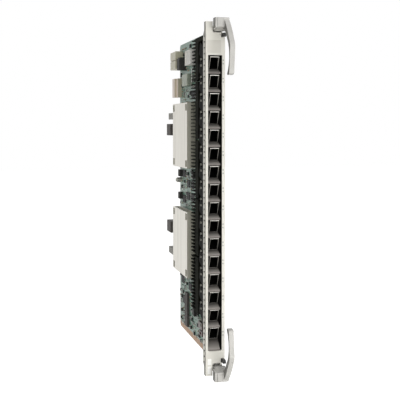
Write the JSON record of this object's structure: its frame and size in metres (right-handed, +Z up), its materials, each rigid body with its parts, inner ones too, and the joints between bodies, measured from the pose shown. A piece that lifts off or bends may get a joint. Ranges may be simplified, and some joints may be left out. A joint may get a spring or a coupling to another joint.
{
  "type": "switch line card",
  "caption": "Tall optical line card for a chassis slot: narrow front panel with slanted module ports, ejector lever at each end, circuit board with heat sinks and rear connectors.",
  "frame": {"origin": "lower edge of the board, in the middle of its thickness and in the plane of the front panel's back, where the card meets its lower guide and rail", "axes": "+Z up along the panel, +Y from the panel to the rear connectors, +X from the component side through the board to its solder side"},
  "size_m": [0.0233, 0.2508, 0.3983],
  "materials": {
    "panel_paint": "powder coat",
    "spring_steel": "bright spring sheet",
    "bezel_plastic": "matt",
    "cage_steel": "plated sheet",
    "black_plastic": "matt",
    "clear_plastic": "clear moulding",
    "lever_paint": "smooth paint",
    "latch_plastic": "matt",
    "pin_steel": "turned",
    "bracket_metal": "cast",
    "screw_steel": "plated",
    "board": "solder resist",
    "plain_aluminium": "extruded",
    "chip_package": "moulded",
    "bolster_steel": "plated sheet",
    "black_aluminium": "black anodised",
    "pale_plastic": "matt",
    "ivory_plastic": "matt",
    "ferrite": "moulded",
    "beige_plastic": "matt",
    "dark_plastic": "matt",
    "standoff_metal": "turned",
    "can_metal": "drawn",
    "relay_plastic": "matt"
  },
  "bodies": {
    "card": {"front_panel": "panel_paint", "emi_gasket": "spring_steel", "port_bezel": "bezel_plastic", "port_cage_01": "cage_steel", "port_cage_02": "cage_steel", "port_cage_03": "cage_steel", "port_cage_04": "cage_steel", "port_cage_05": "cage_steel", "port_cage_06": "cage_steel", "port_cage_07": "cage_steel", "port_cage_08": "cage_steel", "port_cage_09": "cage_steel", "port_cage_10": "cage_steel", "port_cage_11": "cage_steel", "port_cage_12": "cage_steel", "port_cage_13": "cage_steel", "port_cage_14": "cage_steel", "port_cage_15": "cage_steel", "port_cage_16": "cage_steel", "host_connectors": "black_plastic", "light_pipes": "clear_plastic", "lower_pivot_pin": "pin_steel", "upper_pivot_pin": "pin_steel", "lower_bracket": "bracket_metal", "upper_bracket": "bracket_metal", "bracket_screws": "screw_steel", "main_board": "board", "upper_heat_sink": "plain_aluminium", "lower_heat_sink": "plain_aluminium", "upper_switch_chip": "chip_package", "lower_switch_chip": "chip_package", "upper_bolster_plate": "bolster_steel", "lower_bolster_plate": "bolster_steel", "heat_sink_screws": "screw_steel", "row_heat_sink_1": "black_aluminium", "row_heat_sink_2": "black_aluminium", "row_heat_sink_3": "black_aluminium", "row_heat_sink_4": "black_aluminium", "row_chips": "chip_package", "power_heat_sink": "black_aluminium", "power_module": "pale_plastic", "power_connector": "ivory_plastic", "power_filter": "ferrite", "signal_connector": "beige_plastic", "upper_guide_module": "dark_plastic", "lower_guide_module": "dark_plastic", "upper_key_block": "pale_plastic", "lower_key_block": "pale_plastic", "rear_standoff": "standoff_metal", "capacitors": "can_metal", "shielded_can": "can_metal", "connector_strip": "dark_plastic", "relay": "relay_plastic", "fuse_block": "relay_plastic", "memory_chips": "chip_package", "inductors": "ferrite"},
    "upper_lever": {"upper_lever": "lever_paint"},
    "lower_lever": {"lower_lever": "lever_paint"},
    "upper_latch": {"upper_latch": "latch_plastic"},
    "lower_latch": {"lower_latch": "latch_plastic"}
  },
  "joints": [
    {"name": "lower_lever_hinge", "type": "hinge", "parent": "card", "child": "lower_lever", "pos_m": [-0.0026, 0.0035, -0.0005], "axis": [1, 0, 0], "range_deg": [0, 55]},
    {"name": "upper_lever_hinge", "type": "hinge", "parent": "card", "child": "upper_lever", "pos_m": [-0.0026, 0.0035, 0.3786], "axis": [-1, 0, 0], "range_deg": [0, 55]},
    {"name": "lower_latch_slide", "type": "slide", "parent": "card", "child": "lower_latch", "axis": [0, 0, 1], "range_m": [0, 0.0015], "stiffness_N_per_m": 300},
    {"name": "upper_latch_slide", "type": "slide", "parent": "card", "child": "upper_latch", "axis": [0, 0, -1], "range_m": [0, 0.0015], "stiffness_N_per_m": 300}
  ]
}
